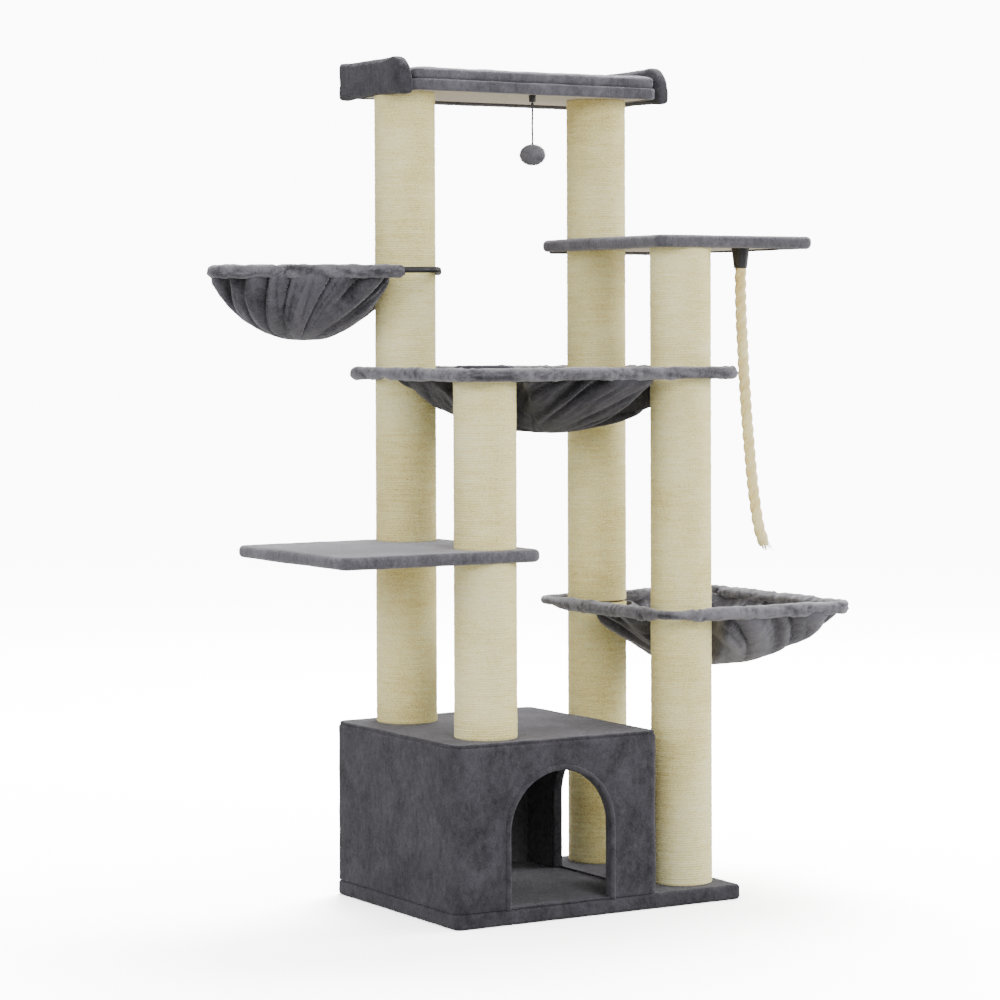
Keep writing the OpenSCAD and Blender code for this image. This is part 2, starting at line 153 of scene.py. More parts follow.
class Finish(Nodes):
    """A material with a Principled shader; settings are that shader's constant values."""

    def __init__(self, name, **settings):
        self.material = bpy.data.materials.new(name)
        self.material.use_nodes = True
        super().__init__(self.material.node_tree)
        self.shader = self.tree.nodes["Principled BSDF"]
        for key, value in settings.items():
            self.shader.inputs[key.replace("_", " ").title()].default_value = value

    def set(self, name, value):
        self.feed(self.shader.inputs[name], value)

    def place(self, stretch=(1, 1, 1)):
        """The point on the piece in metres, stretched along each axis."""
        point = self.add("ShaderNodeTexCoord", out="Object")
        if stretch == (1, 1, 1):
            return point
        return self.add("ShaderNodeVectorMath", {"operation": "MULTIPLY"}, {0: point, 1: stretch})

    def cloud(self, point, scale, detail=3.0, rough=0.55, twist=0.0):
        values = {"Vector": point, "Scale": scale, "Detail": detail, "Roughness": rough,
                  "Distortion": twist}
        return self.add("ShaderNodeTexNoise", {}, values)

    def ramp(self, value, stops):
        return self.add("ShaderNodeValToRGB", {"stops": stops}, {"Fac": value})

    def bump(self, height, depth, strength=1.0):
        values = {"Height": height, "Distance": depth, "Strength": strength}
        self.set("Normal", self.add("ShaderNodeBump", {}, values))


def mixed(dark, light, share):
    return tuple(a + (b - a) * share for a, b in zip(dark, light))


def plush_finish(name, dark, light, sheen, painted_fold_light_and_shade=0.0):
    """Short brushed pile: soft patches where it lies another way, brush marks and fine fuzz. Where its last
    argument isn't 0, it also paints shade into the cloth's creases and paints light on its ridges."""
    plush = Finish(name, roughness=0.95, sheen_weight=sheen, sheen_roughness=0.45)
    plush.set("Sheen Tint", (0.86, 0.85, 0.92, 1))
    plush.set("Specular IOR Level", 0.15)
    point = plush.place()
    patches = plush.cloud(point, 13, 5, 0.66, 0.6)
    marks = plush.cloud(plush.place((1, 1, 0.7)), 85, 4, 0.72, 0.3)
    fuzz = plush.cloud(point, 360, 2, 0.7)
    tone = patches * 0.42 + marks * 0.34 + fuzz * 0.24
    if painted_fold_light_and_shade:
        # Painted shade in the cloth's creases and painted light on its ridges
        ridge = plush.add("ShaderNodeAttribute", {"attribute_name": "ridge"}, out=2)
        tone = tone + (ridge - 0.5) * painted_fold_light_and_shade
    stops = [(0.37, dark), (0.47, mixed(dark, light, 0.36)), (0.54, mixed(dark, light, 0.62)),
             (0.64, light)]
    plush.set("Base Color", plush.ramp(tone, stops))
    plush.bump(marks * 0.7 + fuzz * 0.8 + patches * 0.5, 0.0026, 0.8)
    return plush.material


def sisal_finish():
    """Wound natural twine: each turn a little different, with fine fibres across it."""
    sisal = Finish("sisal", roughness=0.85, sheen_weight=0.08)
    sisal.set("Specular IOR Level", 0.2)
    turns = sisal.cloud(sisal.place((14, 14, 210)), 1.0, 4, 0.65)
    fibres = sisal.cloud(sisal.place((1, 1, 1.8)), 340, 3, 0.75)
    patches = sisal.cloud(sisal.place(), 6, 3, 0.6)
    tone = turns * 0.18 + fibres * 0.58 + patches * 0.24
    stops = [(0.36, (0.56, 0.42, 0.15)), (0.44, (0.80, 0.67, 0.27)), (0.51, (0.95, 0.85, 0.40)),
             (0.58, (1.0, 0.96, 0.60))]
    sisal.set("Base Color", sisal.ramp(tone, stops))
    sisal.bump(fibres + turns * 0.4, 0.0012, 0.7)
    return sisal.material


def rope_finish():
    rope = Finish("rope", roughness=0.8, sheen_weight=0.1)
    rope.set("Specular IOR Level", 0.2)
    fibres = rope.cloud(rope.place((1, 1, 0.35)), 900, 3, 0.7)
    patches = rope.cloud(rope.place(), 30, 2, 0.5)
    stops = [(0.36, (0.68, 0.48, 0.18)), (0.5, (0.97, 0.82, 0.40)), (0.64, (1.0, 0.94, 0.57))]
    rope.set("Base Color", rope.ramp(fibres * 0.6 + patches * 0.4, stops))
    rope.bump(fibres, 0.0009, 0.7)
    return rope.material


def grained_finish(name, dark, light, scale, stretch=(1, 1, 1), depth=0.0003, **settings):
    """A finish with a fine grain in its colour, its gloss and its surface."""
    finish = Finish(name, **settings)
    grain = finish.cloud(finish.place(stretch), scale, 4, 0.65)
    finish.set("Base Color", finish.ramp(grain, [(0.32, dark), (0.68, light)]))
    gloss = settings.get("roughness", 0.5)
    finish.set("Roughness", grain * 0.16 + (gloss - 0.08))
    finish.bump(grain, depth, 0.5)
    return finish.material


PLUSH = plush_finish("plush", (0.019, 0.018, 0.022), (0.084, 0.081, 0.093), 0.20)
SLING_PLUSH = plush_finish("sling_plush", (0.015, 0.014, 0.017), (0.112, 0.108, 0.124), 0.55, 0.30)
# A darker copy of the sling plush for the middle sling: painted shade, where the posts and platforms round
# it keep the light off
PAINTED_SHADE_SLING_PLUSH = plush_finish("painted_shade_sling_plush", (0.006, 0.006, 0.007), (0.058, 0.056, 0.064),
                            0.30, 0.36)
# A lighter copy of the sling plush for the sleeves round the rods: painted light, where the light from
# above falls on them
RIM_PLUSH_PAINTED_LIGHT = plush_finish("rim_plush_painted_light", (0.030, 0.029, 0.034), (0.180, 0.175, 0.195), 0.75, 0.34)
# A lighter copy of the plush for the platforms, their back hems and the mat: painted light from above on
# their tops and edges
DECK_PLUSH_PAINTED_LIGHT = plush_finish("deck_plush", (0.042, 0.040, 0.047), (0.150, 0.145, 0.164), 0.60)
POMPOM_PLUSH = plush_finish("pompom_plush", (0.08, 0.078, 0.09), (0.20, 0.195, 0.215), 0.6)
SISAL = sisal_finish()
ROPE = rope_finish()
LINING = grained_finish("cream_lining", (0.60, 0.53, 0.42), (0.72, 0.65, 0.53), 60,
                        depth=0.0002, roughness=0.8)
DARK_LINING = grained_finish("dark_lining", (0.11, 0.108, 0.112), (0.17, 0.167, 0.172), 120,
                             roughness=0.9)
CHIPBOARD = grained_finish("chipboard", (0.36, 0.25, 0.14), (0.60, 0.46, 0.29), 260,
                           depth=0.0006, roughness=0.85)
CARDBOARD = grained_finish("cardboard", (0.36, 0.27, 0.17), (0.50, 0.39, 0.26), 90, (1, 1, 4),
                           roughness=0.9)
PLUG_WOOD = grained_finish("plug_wood", (0.52, 0.37, 0.21), (0.68, 0.53, 0.34), 50, (1, 8, 1),
                           roughness=0.7)
BACKING = grained_finish("backing_felt", (0.018, 0.018, 0.020), (0.034, 0.034, 0.037), 500,
                         depth=0.0006, roughness=0.95)
STEEL = grained_finish("zinc_steel", (0.50, 0.51, 0.53), (0.64, 0.65, 0.67), 300,
                       roughness=0.35, metallic=1.0)
BLACK_STEEL = grained_finish("black_steel", (0.014, 0.014, 0.015), (0.030, 0.030, 0.032), 200,
                             roughness=0.42)
BLACK_PLASTIC = grained_finish("black_plastic", (0.010, 0.010, 0.011), (0.022, 0.022, 0.024), 400,
                               roughness=0.5)
CORD = grained_finish("grey_cord", (0.03, 0.03, 0.033), (0.07, 0.07, 0.075), 900, (1, 1, 3),
                      roughness=0.8)

NODE_FINISHES = {
    CHIPBOARD: ["base_board"],
    BACKING: ["base_backing"],
    STEEL: ["base_bolts", "house_screws", "house_roof_bolts", "post_studs"],
    DARK_LINING: ["house_front_panel", "house_back_panel", "house_left_panel", "house_right_panel",
                  "house_roof_panel"],
    CARDBOARD: ["post_a_tubes", "post_b_tubes", "post_c_tubes", "post_d_tubes"],
    PLUG_WOOD: ["post_plugs"],
    LINING: ["left_platform_board", "right_platform_board", "top_platform_board"],
    BLACK_STEEL: ["mid_sling_frame", "low_sling_frame", "high_sling_frame"],
    BLACK_PLASTIC: ["toy_clip", "toy_knot", "rope_socket"],
    ROPE: ["rope_stub"],
}


def dress_nodes():
    for finish, nodes in NODE_FINISHES.items():
        for node in nodes:
            mesh_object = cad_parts[node]
            if not mesh_object.material_slots:
                mesh_object.data.materials.append(finish)
            for slot in mesh_object.material_slots:
                slot.material = finish


# ---- Making meshes ----


def add_piece(name, points, faces, finish, slot, body, stands_for=()):
    """A smooth-shaded mesh piece that rides on a body and stands for some CAD nodes."""
    mesh = bpy.data.meshes.new(name)
    mesh.from_pydata(np.asarray(points).tolist(), [], faces)
    mesh.materials.append(finish)
    mesh.shade_smooth()
    piece = bpy.data.objects.new(name, mesh)
    bpy.context.collection.objects.link(piece)
    if body:
        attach(piece, body)
    if stands_for:
        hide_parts(*stands_for)
    return piece


def net(rows, cols, closed_cols=False, start=0):
    """The quads over rows of points, each a closed ring; closed_cols joins the last row to the first."""
    r = np.arange(rows if closed_cols else rows - 1)
    r, c = np.meshgrid(r, np.arange(cols), indexing="ij")
    up, on = (r + 1) % rows, (c + 1) % cols
    quads = np.stack([r * cols + c, r * cols + on, up * cols + on, up * cols + c], axis=-1)
    return (quads.reshape(-1, 4) + start).tolist()


def mark_ridges(piece, ridge):
    """Keeps how far each point stands out of the cloth's creases, from 0 to 1, for its finish, which paints
    shade into the creases and light onto the ridges.
    """
    kept = piece.data.attributes.new("ridge", "FLOAT", "POINT")
    kept.data.foreach_set("value", np.clip(ridge, 0, 1).astype(np.float32))


def points_of(mesh):
    flat = np.empty(len(mesh.vertices) * 3)
    mesh.vertices.foreach_get("co", flat)
    return flat.reshape(-1, 3)


def normals_of(mesh):
    flat = np.empty(len(mesh.vertices) * 3)
    mesh.vertex_normals.foreach_get("vector", flat)
    return flat.reshape(-1, 3)


def move_to(mesh, points):
    mesh.vertices.foreach_set("co", np.ascontiguousarray(points).ravel())
    mesh.update()


def noise_at(x, y, z):
    return noise.noise(Vector((x, y, z)))


def hills(points, size, seed=0.0):
    """Smooth noise from -1 to 1 at each point, with hills about size wide."""
    return np.array([noise_at(x / size + seed, y / size, z / size - seed) for x, y, z in points])


def soften(piece, *waves):
    """Moves the surface in and out; each wave is (size, height)."""
    points = points_of(piece.data)
    shift = sum(height * hills(points, size, 3.7 * k) for k, (size, height) in enumerate(waves))
    move_to(piece.data, points + normals_of(piece.data) * shift[:, None])


def rim_of(rect, corner, step):
    """Points round a rectangle with rounded corners, and the outward direction at each."""
    x0, x1, y0, y1 = rect
    centres = [(x1 - corner, y0 + corner), (x1 - corner, y1 - corner), (x0 + corner, y1 - corner),
               (x0 + corner, y0 + corner)]
    rim, out = [], []
    for i, centre in enumerate(centres):
        count = max(5, round(corner * math.pi / 2 / step))
        for k in range(count + 1):
            angle = math.radians(90 * (i - 1 + k / count))
            way = np.array([math.cos(angle), math.sin(angle)])
            rim.append(np.array(centre) + corner * way)
            out.append(way)
        following = np.array(centres[(i + 1) % 4]) + corner * out[-1]
        count = max(1, round(np.linalg.norm(following - rim[-1]) / step))
        first = rim[-1]
        for k in range(1, count):
            rim.append(first + (following - first) * k / count)
            out.append(out[-1])
    return np.array(rim), np.array(out)


def rect_of(node):
    """A node's rectangle from above, and its lowest and highest level."""
    low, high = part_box(node)
    return (low[0], high[0], low[1], high[1]), low[2], high[2]


def grown(rect, by):
    return (rect[0] - by, rect[1] + by, rect[2] - by, rect[3] + by)


def middle_of(rect):
    return np.array([(rect[0] + rect[1]) / 2, (rect[2] + rect[3]) / 2])


def thicken(piece, thickness, offset):
    solid = piece.modifiers.new("thickness", "SOLIDIFY")
    solid.thickness = thickness
    solid.offset = offset


def rings_to_piece(name, rings, closed_top, closed_bottom, *rest):
    """A skin over rings of points; each ring is an array, and an end may close on its middle."""
    cols = len(rings[0])
    points = np.concatenate(rings)
    faces = net(len(rings), cols)
    for closed, first, flip in ((closed_top, 0, True), (closed_bottom, len(points) - cols, False)):
        if closed:
            middle = points[first:first + cols].mean(axis=0)
            points = np.concatenate([points, middle[None]])
            hub = len(points) - 1
            for k in range(cols):
                a, b = first + k, first + (k + 1) % cols
                faces.append([hub, b, a] if flip else [hub, a, b])
    return add_piece(name, points, [face[::-1] for face in faces], *rest)


def level(flat, z):
    return np.column_stack([flat, np.full(len(flat), z)])


# How far the turned-under edge of a board's plush stands up at its end
TURN_UP = 2 * MM


def plush_plate(name, rect, z0, z1, corner, edge, lip, rest, step=8 * MM, close_below=False):
    """Plush over a board: a flat top, soft round edges and a fold that turns in underneath."""
    rim, out = rim_of(rect, corner, step)
    middle = middle_of(rect)
    inner = rim - out * corner
    span = min(rect[1] - rect[0], rect[3] - rect[2]) / 2
    count = max(3, int(span / step))
    rings = [level(middle + (inner - middle) * k / count, z1) for k in range(1, count)]
    rings += [level(rim - out * inset, z1) for inset in np.linspace(corner, edge, 3)]
    arc = np.linspace(0, math.pi / 2, 6)[1:]
    rings += [level(rim - out * edge * (1 - math.sin(a)), z1 - edge * (1 - math.cos(a))) for a in arc]
    side = max(2, int((z1 - z0 - 2 * edge) / step) + 1)
    rings += [level(rim, z) for z in np.linspace(z1 - edge, z0 + edge, side + 1)[1:-1]]
    arc = arc - arc[0]
    rings += [level(rim - out * edge * (1 - math.cos(a)), z0 + edge * (1 - math.sin(a))) for a in arc]
    if close_below:
        rings += [level(rim - out * inset, z0) for inset in np.linspace(edge, corner, 3)]
        rings += [level(middle + (inner - middle) * k / count, z0) for k in range(count - 1, 0, -1)]
    else:
        rings += [level(rim - out * min(inset, corner), z0) for inset in np.linspace(edge, lip, 3)]
        rings.append(level(rim - out * lip, z0 + TURN_UP))
    return rings_to_piece(name, rings, True, close_below, *rest)


# ---- Rope ----

# The rope's middle line: how far along X from its socket, and how high, in millimetres
ROPE_LINE = [(0, 1262), (0, 1250), (0, 1230), (0, 1205), (1, 1180), (2, 1150), (4, 1120), (6, 1085),
             (8, 1050), (11, 1010), (14, 970), (18, 930), (22, 890), (26, 850), (31, 810), (37, 772),
             (43, 742), (50, 718), (58, 700)]
STRANDS = 3
STRAND_R = 6.9 * MM
STRAND_OFFSET = 5.2 * MM
# The length of rope in which a strand goes once round
ROPE_LAY = 74 * MM
# The strands spread over the last LOOSE of the rope, and thin over the last THINNED
LOOSE = 35 * MM
THINNED = 15 * MM
FRAYED_HAIRS = 9


def along(line, steps):
    """Evenly spaced points on a line, with the line's length."""
    gaps = np.linalg.norm(np.diff(line, axis=0), axis=1)
    run = np.concatenate([[0], np.cumsum(gaps)])
    where = np.linspace(0, run[-1], steps)
    return np.column_stack([np.interp(where, run, line[:, k]) for k in range(3)]), run[-1]


def directions(line):
    ahead = np.gradient(line, axis=0)
    return ahead / np.linalg.norm(ahead, axis=1)[:, None]


def tube(line, radius, sides):
    """Rings round a line; radius is one number or one for each ring."""
    radius = np.broadcast_to(radius, len(line))
    ahead = directions(line)
    side = np.cross(ahead, [0.0, 1.0, 0.05])
    side /= np.linalg.norm(side, axis=1)[:, None]
    across = np.cross(ahead, side)
    turn = np.arange(sides) * 2 * math.pi / sides
    rings = []
    for k, centre in enumerate(line):
        around = np.cos(turn)[:, None] * side[k] + np.sin(turn)[:, None] * across[k]
        rings.append(centre + radius[k] * around)
    return rings


def join_tubes(tubes):
    """Points and faces of several tubes with capped ends, as one mesh."""
    points, faces = [], []
    for rings in tubes:
        start, cols = len(points), len(rings[0])
        points.extend(np.concatenate(rings))
        faces += net(len(rings), cols, start=start)
        faces.append(list(range(start, start + cols))[::-1])
        last = start + (len(rings) - 1) * cols
        faces.append(list(range(last, last + cols)))
    return np.array(points), faces


def frayed_hair(root, ahead, dice):
    """A thin bent hair out of the rope's cut end."""
    start = root + np.array([dice.uniform(-3, 3), dice.uniform(-3, 3), 0]) * MM
    heading = ahead * dice.uniform(14, 26) * MM + np.array(
        [dice.uniform(-4, 5), dice.uniform(-4, 4), dice.uniform(-3, 3)]) * MM
    sag = np.array([dice.uniform(-2, 2), dice.uniform(-2, 2), 0]) * MM
    share = np.linspace(0, 1, 6)[:, None]
    return tube(start + heading * share + sag * share ** 2, np.linspace(1.5, 0.4, 6) * MM, 5)


def make_rope():
    """Three strands laid round the rope's middle line, with loose hairs at the cut end."""
    low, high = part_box("rope_socket")
    x0, y0 = (low[0] + high[0]) / 2, (low[1] + high[1]) / 2
    route = np.array([(x0 + x * MM, y0, z * MM) for x, z in ROPE_LINE])
    line, length = along(route, 230)
    for _ in range(6):
        line[1:-1] = (line[:-2] + line[1:-1] * 2 + line[2:]) / 4
    ahead = directions(line)
    side = np.cross(ahead, [0.0, 1.0, 0.0])
    across = np.cross(ahead, side)
    run = np.linspace(0, length, len(line))
    loosen = 1 + 0.25 * np.clip((run - length + LOOSE) / LOOSE, 0, 1)
    taper = 1 - 0.35 * np.clip((run - length + THINNED) / THINNED, 0, 1)
    dice = random.Random(4)
    tubes = []
    for strand in range(STRANDS):
        turn = run / ROPE_LAY * 2 * math.pi + strand * 2 * math.pi / STRANDS
        around = np.cos(turn)[:, None] * side + np.sin(turn)[:, None] * across
        centre = line + (STRAND_OFFSET * loosen)[:, None] * around
        wobble = 1 + 0.05 * hills(centre, 9 * MM, strand)
        tubes.append(tube(centre, STRAND_R * wobble * taper, 12))
        for _ in range(FRAYED_HAIRS):
            tubes.append(frayed_hair(centre[-6], ahead[-1], dice))
    points, faces = join_tubes(tubes)
    rope = add_piece("climbing_rope", points, faces, ROPE, "rope", None)
    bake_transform(rope)
    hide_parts("rope")


# ---- Pompom toy ----

STRING_STRAND_R = 1.7 * MM
STRING_OFFSET = 0.4 * MM
# The pompom is made this much bigger than its CAD ball
FLUFF = 1.08
TUFTS = 900
# A third of a full turn, and the turn from one tuft to the next, in radians
THIRD_OF_A_TURN = 2.094
GOLDEN_ANGLE = 2.399963


def make_toy():
    low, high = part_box("toy_ball")
    middle = (np.array(low) + np.array(high)) / 2
    knot_low, knot_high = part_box("toy_knot")
    top = (knot_low[2] + knot_high[2]) / 2
    line = np.linspace([middle[0], middle[1], top], [middle[0], middle[1], high[2] - 3 * MM], 16)
    line[1:-1, 0] += 0.25 * MM * np.sin(np.linspace(0, 9, 14))
    twist = np.linspace(0, 26, len(line))
    strands = []
    for phase in (0, math.pi):
        around = np.column_stack([np.cos(twist + phase), np.sin(twist + phase), twist * 0])
        strands.append(tube(line + STRING_OFFSET * around, STRING_STRAND_R, 8))
    points, faces = join_tubes(strands)
    cord = add_piece("toy_string", points, faces, CORD, "cord", "toy", ["toy_cord"])
    pompom = make_pompom(middle, (high[0] - low[0]) / 2 * FLUFF, (high[2] - low[2]) / 2 * FLUFF)


def make_pompom(middle, wide, high):
    """A fluffy ball: a lumpy core with many short tufts standing out of it."""
    shape = bmesh.new()
    bmesh.ops.create_icosphere(shape, subdivisions=5, radius=1)
    points = np.array([vertex.co[:] for vertex in shape.verts])
    faces = [[vertex.index for vertex in face.verts][::-1] for face in shape.faces]
    shape.free()
    lumps = 0.93 + 0.045 * hills(points, 0.35) + 0.03 * hills(points, 0.12, 2.0)
    core = points * lumps[:, None]
    dice = random.Random(11)
    tufts, tuft_faces = [], []
    for k in range(TUFTS):
        z = 1 - 2 * (k + 0.5) / TUFTS
        angle, reach = k * GOLDEN_ANGLE, math.sqrt(1 - z * z)
        way = Vector((reach * math.cos(angle), reach * math.sin(angle), z))
        lean = (way + Vector([dice.uniform(-0.35, 0.35) for _ in range(3)])).normalized()
        side = way.orthogonal().normalized()
        root, tip = way * 0.9, way * 0.9 + lean * dice.uniform(0.10, 0.17)
        start = len(core) + len(tufts)
        for corner in range(3):
            tufts.append(root + Matrix.Rotation(corner * THIRD_OF_A_TURN, 3, way) @ side * 0.045)
        tufts.append(tip)
        tuft_faces += [[start + a, start + b, start + 3] for a, b in ((0, 1), (1, 2), (2, 0))]
    points = np.concatenate([core, np.array([tuft[:] for tuft in tufts])])
    points = points * np.array([wide, wide, high]) + middle
    faces = [face[::-1] for face in faces] + tuft_faces
    return add_piece("pompom", points, faces, POMPOM_PLUSH, "plush", "toy", ["toy_ball"])


# ---- Posts ----

TWINE = 4.8 * MM
# How far the twine stands out past the CAD winding
TWINE_OUT = 1.2 * MM
# How far in or out each of a turn's three rows lies: the groove, then the twine's round back
TURN_ROWS = (-0.9 * MM, 0.15 * MM, 0.15 * MM)
POST_SIDES = 60
# A winding stops END_GAP short of its section's ends, and is drawn in by DRAWN_IN over the last ROUNDED
END_GAP = 0.1 * MM
DRAWN_IN = 1.6 * MM
ROUNDED = 2 * MM
# Just under half the cap's width, so its top is a round
CAP_CORNER = 56.99 * MM


def wound_sisal(node, seed):
    """Twine wound up a post: one long helix whose turns bulge between thin grooves."""
    rect, z0, z1 = rect_of(node)
    middle = middle_of(rect)
    radius = (rect[1] - rect[0]) / 2 + TWINE_OUT
    sides, rows_a_turn = POST_SIDES, len(TURN_ROWS)
    turns = int((z1 - z0) / TWINE) + 1
    dice = random.Random(seed)
    loose = [dice.gauss(0, 0.14 * MM) for _ in range(turns + 3)]
    rows = (turns + 1) * rows_a_turn
    angle = np.arange(sides) * 2 * math.pi / sides
    rings = []
    for row in range(rows + 1):
        z = z0 + TWINE * (row / rows_a_turn - 1 + np.arange(sides) / sides)
        reach = np.full(sides, radius + TURN_ROWS[row % rows_a_turn] + loose[row // rows_a_turn])
        inside = np.clip(np.minimum(z - z0, z1 - z) / ROUNDED, 0, 1)
        reach = reach - (1 - inside) * DRAWN_IN
        rings.append(np.column_stack([middle[0] + reach * np.cos(angle), middle[1] + reach * np.sin(angle),
                                      np.clip(z, z0 + END_GAP, z1 - END_GAP)]))
    points = np.concatenate(rings)
    outward = (points[:, :2] - middle) / radius
    points[:, :2] += (0.22 * MM * hills(points, 14 * MM, seed))[:, None] * outward
    faces = []
    for row in range(len(rings) - 1):
        for k in range(sides):
            here = row * sides + k
            if k < sides - 1:
                faces.append([here, here + 1, here + sides + 1, here + sides])
            elif row + rows_a_turn + 1 < len(rings):
                far = (row + rows_a_turn) * sides
                faces.append([here, far, far + sides, here + sides])
    ends = []
    for ring, z in ((rings[0], z0 + END_GAP), (rings[-1], z1 - END_GAP)):
        ends.append(level(middle + (ring[:, :2] - middle) * 0.92, z))
    start = len(points)
    points = np.concatenate([points, *ends])
    last = (len(rings) - 1) * sides
    for k in range(sides):
        on = (k + 1) % sides
        faces.append([start + k, start + on, on, k])
        faces.append([last + k, last + on, start + sides + on, start + sides + k])
    name = node.replace("sisal", "winding")
    add_piece(name, points, faces, SISAL, "sisal", "tree", [node])


def make_posts():
    seed = 20
    for node in sorted(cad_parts):
        if "_sisal_" in node:
            seed += 1
            wound_sisal(node, seed)
    rect, z0, z1 = rect_of("post_b_cap")
    cap = plush_plate("post_b_top", rect, z0, z1, CAP_CORNER, 5 * MM, 0,
                      (PLUSH, "plush", "tree", ["post_b_cap"]), step=5 * MM, close_below=True)
    soften(cap, (25 * MM, 0.5 * MM))


# ---- Base, house and platforms ----

PLUSH_WAVES = ((85 * MM, 0.7 * MM), (22 * MM, 0.35 * MM), (7 * MM, 0.2 * MM))
WALL_EDGE = 7 * MM


def make_base():
    rect, z0, z1 = rect_of("base_cover")
    cover = plush_plate("base_plush", rect, z0, z1, 14 * MM, 7 * MM, 14 * MM,
                        (PLUSH, "plush", "tree", ["base_cover"]))
    soften(cover, *PLUSH_WAVES)


def door_shape(node):
    """A doorway's middle, half width and the height of its round head's centre, from its trim."""
    low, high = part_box(node)
    across = 0 if high[0] - low[0] > high[1] - low[1] else 1
    half = (high[across] - low[across]) / 2
    return across, (low[across] + high[across]) / 2, half, high[2] - half


def make_house_walls():
    """Plush round the walls, with both doorways cut out of it."""
    rect, z0, _ = rect_of("house_wall_cover")
    _, _, z1 = rect_of("house_roof_panel")
    rim, out = rim_of(rect, 18 * MM, 5 * MM)
    rings = [level(rim - out * 3 * MM, z0), level(rim - out * 1 * MM, z0 + 1 * MM)]
    rings += [level(rim, z) for z in np.linspace(z0 + 3 * MM, z1 - WALL_EDGE, 62)]
    for angle in (22, 44, 66, 90):
        a = math.radians(angle)
        rings.append(level(rim - out * WALL_EDGE * (1 - math.cos(a)), z1 - WALL_EDGE * (1 - math.sin(a))))
    points = np.concatenate(rings)
    faces = np.array(net(len(rings), len(rim)))
    centres = points[faces].mean(axis=1)
    gone = np.zeros(len(faces), dtype=bool)
    for node, wall in (("house_door_trim", rect[2]), ("house_side_trim", rect[1])):
        across, middle, half, head = door_shape(node)
        other = 1 - across
        near = np.abs(centres[:, other] - wall) < 2 * MM
        gone |= near & (within_arch(centres, across, middle, half, head) > 0)
        close = np.abs(points[:, other] - wall) < 2 * MM
        push_out(points, close, across, middle, half, head)
    kept = faces[~gone]
    used = np.unique(kept)
    number = np.full(len(points), -1)
    number[used] = np.arange(len(used))
    walls = add_piece("house_walls_plush", points[used], number[kept].tolist(), PLUSH, "plush", "tree",
                      ["house_wall_cover"])
    soften(walls, (48 * MM, 1.0 * MM), *PLUSH_WAVES)
    thicken(walls, 3.2 * MM, -1)


def within_arch(points, across, middle, half, head):
    """How far each point is inside the doorway's outline; negative outside."""
    side = np.abs(points[:, across] - middle)
    above = np.maximum(points[:, 2] - head, 0)
    return half - np.hypot(side, above)


def push_out(points, chosen, across, middle, half, head):
    """Moves the points just inside a doorway's outline onto it."""
    depth = within_arch(points, across, middle, half, head)
    for k in np.nonzero(chosen & (depth > 0) & (depth < 5 * MM))[0]:
        centre = np.array([middle, min(points[k, 2], head)])
        here = np.array([points[k, across], points[k, 2]])
        way = (here - centre) / max(np.linalg.norm(here - centre), 1e-9)
        points[k, across], points[k, 2] = centre + way * half


def make_roof():
    rect, z0, z1 = rect_of("house_roof_cover")
    roof = plush_plate("house_roof_plush", grown(rect, -1.5 * MM), z0 - 1 * MM, z1 + 1.2 * MM, 18 * MM,
                       3.1 * MM, 12 * MM, (PLUSH, "plush", "tree", ["house_roof_cover"]))
    soften(roof, *PLUSH_WAVES)


def make_door_trim(name, node, face, inward):
    """A rolled plush lip round a doorway; its section is a bead with a band running inside."""
    across, middle, half, head = door_shape(node)
    low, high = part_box(node)
    other = 1 - across
    depth = high[other] - low[other]
    jamb = np.linspace(low[2], head, 28)[:-1]
    path = [(middle + half, z, 1.0, 0.0) for z in jamb]
    for a in np.linspace(0, math.pi, 49):
        path.append((middle + half * math.cos(a), head + half * math.sin(a), math.cos(a), math.sin(a)))
    path += [(middle - half, z, -1.0, 0.0) for z in jamb[::-1]]
    bead = [(2.6 * MM + 5.4 * MM * math.cos(a), -3.6 * MM * math.sin(a))
            for a in np.linspace(0.15, math.pi, 9)]
    band = [(-2.6 * MM, depth * 0.4), (-2.4 * MM, depth * 0.8), (-1.9 * MM, depth + 0.6 * MM),
            (-0.9 * MM, depth + 1.0 * MM), (-0.2 * MM, depth * 0.7), (-0.1 * MM, depth * 0.3),
            (5.8 * MM, 0.2 * MM)]
    section = bead + band
    rings = []
    for a, z, way_a, way_z in path:
        ring = np.zeros((len(section), 3))
        for k, (reach, deep) in enumerate(section):
            ring[k, across] = a + way_a * reach
            ring[k, other] = face + inward * deep
            ring[k, 2] = z + way_z * reach
        rings.append(ring)
    points = np.concatenate(rings)
    cols = len(section)
    faces = net(len(rings), cols)
    faces += [list(range(cols))[::-1], list(range(len(points) - cols, len(points)))]
    if across == 0:
        faces = [ring[::-1] for ring in faces]
    trim = add_piece(name, points, faces, PLUSH, "plush", "tree", [node])
    soften(trim, (26 * MM, 0.5 * MM), (9 * MM, 0.35 * MM))


def make_platforms():
    for side in ("left", "right"):
        rect, z0, z1 = rect_of(f"{side}_platform_cover")
        cover = plush_plate(f"{side}_platform_plush", rect, z0 - 3.5 * MM, z1 + 0.5 * MM, 22 * MM,
                            10 * MM, 16 * MM, (DECK_PLUSH_PAINTED_LIGHT, "plush", "tree", [f"{side}_platform_cover"]))
        soften(cover, *PLUSH_WAVES)
    rect, z0, z1 = rect_of("top_platform_cover")
    cover = plush_plate("top_platform_plush", rect, z0 - 1.5 * MM, z1 + 0.2 * MM, 22 * MM, 4.5 * MM,
                        12 * MM, (DECK_PLUSH_PAINTED_LIGHT, "plush", "tree", ["top_platform_cover"]))
    soften(cover, *PLUSH_WAVES)
    make_back_hem("right", 24 * MM)
    make_back_hem("top", 112 * MM)


